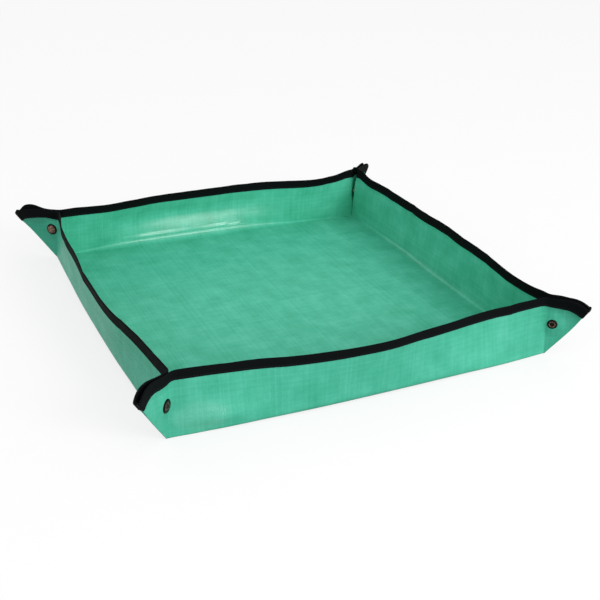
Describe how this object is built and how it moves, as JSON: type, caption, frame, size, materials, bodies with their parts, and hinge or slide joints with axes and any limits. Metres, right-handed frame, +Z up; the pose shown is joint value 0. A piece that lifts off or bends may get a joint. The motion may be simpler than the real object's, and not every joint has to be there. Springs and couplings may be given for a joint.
{
  "type": "repotting mat",
  "caption": "Square coated-tarp repotting mat whose snap-fastened corners stand its low walls up into a tray, and which folds out flat.",
  "frame": {"origin": "on the ground, under the middle of the square base", "axes": "+Z up out of the tray; -Y towards the front wall, whose ears carry the studs, as the back wall's do; +X towards the right wall; X and Y along the base's sides"},
  "size_m": [0.6124, 0.6124, 0.0821],
  "materials": {
    "tarp": "satin",
    "edging": "matte",
    "snap_brass": "satin",
    "spring_steel": null
  },
  "bodies": {
    "base": {"tarp_base": "tarp"},
    "wall_front": {"tarp_wall_front": "tarp", "edging_front": "edging"},
    "wall_back": {"tarp_wall_back": "tarp", "edging_back": "edging"},
    "wall_left": {"tarp_wall_left": "tarp", "edging_left": "edging"},
    "wall_right": {"tarp_wall_right": "tarp", "edging_right": "edging"},
    "ear_front_left": {"tarp_ear_front_left": "tarp", "edging_ear_front_left": "edging", "snap_stud_front_left": "snap_brass", "snap_eyelet_front_left": "snap_brass"},
    "ear_front_right": {"tarp_ear_front_right": "tarp", "edging_ear_front_right": "edging", "snap_stud_front_right": "snap_brass", "snap_eyelet_front_right": "snap_brass"},
    "ear_back_left": {"tarp_ear_back_left": "tarp", "edging_ear_back_left": "edging", "snap_stud_back_left": "snap_brass", "snap_eyelet_back_left": "snap_brass"},
    "ear_back_right": {"tarp_ear_back_right": "tarp", "edging_ear_back_right": "edging", "snap_stud_back_right": "snap_brass", "snap_eyelet_back_right": "snap_brass"},
    "ear_left_front": {"tarp_ear_left_front": "tarp", "edging_ear_left_front": "edging", "snap_cap_front_left": "snap_brass", "snap_socket_front_left": "snap_brass", "snap_spring_front_left": "spring_steel"},
    "ear_left_back": {"tarp_ear_left_back": "tarp", "edging_ear_left_back": "edging", "snap_cap_back_left": "snap_brass", "snap_socket_back_left": "snap_brass", "snap_spring_back_left": "spring_steel"},
    "ear_right_front": {"tarp_ear_right_front": "tarp", "edging_ear_right_front": "edging", "snap_cap_front_right": "snap_brass", "snap_socket_front_right": "snap_brass", "snap_spring_front_right": "spring_steel"},
    "ear_right_back": {"tarp_ear_right_back": "tarp", "edging_ear_right_back": "edging", "snap_cap_back_right": "snap_brass", "snap_socket_back_right": "snap_brass", "snap_spring_back_right": "spring_steel"}
  },
  "joints": [
    {"name": "fold_front", "type": "hinge", "parent": "base", "child": "wall_front", "pos_m": [0, -0.26, 0.0002], "axis": [1, 0, 0], "range_deg": [0, 76]},
    {"name": "fold_back", "type": "hinge", "parent": "base", "child": "wall_back", "pos_m": [0, 0.26, 0.0002], "axis": [-1, 0, 0], "range_deg": [0, 76]},
    {"name": "fold_left", "type": "hinge", "parent": "base", "child": "wall_left", "pos_m": [-0.26, 0, 0.0002], "axis": [0, -1, 0], "range_deg": [0, 76]},
    {"name": "fold_right", "type": "hinge", "parent": "base", "child": "wall_right", "pos_m": [0.26, 0, 0.0002], "axis": [0, 1, 0], "range_deg": [0, 76]},
    {"name": "spread_front_left", "type": "hinge", "parent": "wall_front", "child": "ear_front_left", "pos_m": [-0.25703, -0.26, 0.0002], "axis": [-0.0868, -0.0868, -0.9924], "range_deg": [0, 36]},
    {"name": "spread_front_right", "type": "hinge", "parent": "wall_front", "child": "ear_front_right", "pos_m": [0.25703, -0.26, 0.0002], "axis": [-0.0868, 0.0868, 0.9924], "range_deg": [0, 36]},
    {"name": "spread_back_left", "type": "hinge", "parent": "wall_back", "child": "ear_back_left", "pos_m": [-0.25703, 0.26, 0.0002], "axis": [0.0868, -0.0868, 0.9924], "range_deg": [0, 36]},
    {"name": "spread_back_right", "type": "hinge", "parent": "wall_back", "child": "ear_back_right", "pos_m": [0.25703, 0.26, 0.0002], "axis": [0.0868, 0.0868, -0.9924], "range_deg": [0, 36]},
    {"name": "spread_left_front", "type": "hinge", "parent": "wall_left", "child": "ear_left_front", "pos_m": [-0.26, -0.25703, 0.0002], "axis": [0.0868, 0.0868, 0.9924], "range_deg": [0, 36]},
    {"name": "spread_left_back", "type": "hinge", "parent": "wall_left", "child": "ear_left_back", "pos_m": [-0.26, 0.25703, 0.0002], "axis": [-0.0868, 0.0868, -0.9924], "range_deg": [0, 36]},
    {"name": "spread_right_front", "type": "hinge", "parent": "wall_right", "child": "ear_right_front", "pos_m": [0.26, -0.25703, 0.0002], "axis": [0.0868, -0.0868, -0.9924], "range_deg": [0, 36]},
    {"name": "spread_right_back", "type": "hinge", "parent": "wall_right", "child": "ear_right_back", "pos_m": [0.26, 0.25703, 0.0002], "axis": [-0.0868, -0.0868, 0.9924], "range_deg": [0, 36]}
  ],
  "couplings": [
    {"joint": "fold_back", "follows": "fold_front", "ratio": 1},
    {"joint": "fold_left", "follows": "fold_front", "ratio": 1},
    {"joint": "fold_right", "follows": "fold_front", "ratio": 1},
    {"joint": "spread_front_left", "follows": "fold_front", "ratio": 0.46981},
    {"joint": "spread_front_right", "follows": "fold_front", "ratio": 0.46981},
    {"joint": "spread_back_left", "follows": "fold_front", "ratio": 0.46981},
    {"joint": "spread_back_right", "follows": "fold_front", "ratio": 0.46981},
    {"joint": "spread_left_front", "follows": "fold_front", "ratio": 0.46981},
    {"joint": "spread_left_back", "follows": "fold_front", "ratio": 0.46981},
    {"joint": "spread_right_front", "follows": "fold_front", "ratio": 0.46981},
    {"joint": "spread_right_back", "follows": "fold_front", "ratio": 0.46981}
  ]
}
